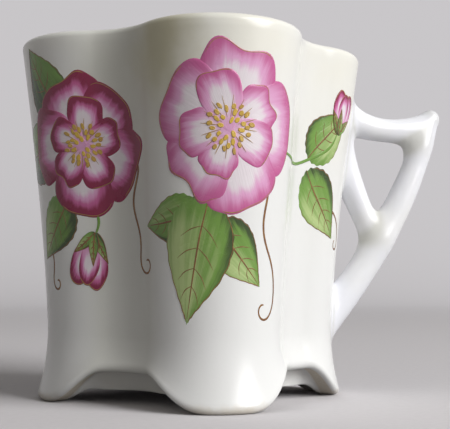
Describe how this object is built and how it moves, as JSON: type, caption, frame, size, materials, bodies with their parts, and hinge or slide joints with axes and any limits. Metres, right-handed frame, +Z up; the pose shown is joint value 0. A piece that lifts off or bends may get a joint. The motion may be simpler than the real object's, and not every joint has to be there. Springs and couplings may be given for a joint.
{
  "type": "espresso cup",
  "caption": "Lobed porcelain espresso cup on small feet, with a forked handle luted to its wall and a painted spray of flowers, for a small hot drink.",
  "frame": {"origin": "middle of the footprint of cup and handle together, on the plane of the feet", "axes": "+X from the cup towards its handle, +Z up, out of the cup's mouth"},
  "size_m": [0.0776, 0.0598, 0.06],
  "materials": {
    "body_glaze": "gloss ivory glaze with fired painting",
    "handle_glaze": "gloss white glaze",
    "joint_slip": "glazed slip, smoothed round the handle's roots"
  },
  "bodies": {
    "root": {"cup_body": "body_glaze", "handle": "handle_glaze", "upper_slip_joint": "joint_slip", "lower_slip_joint": "joint_slip"}
  },
  "joints": []
}
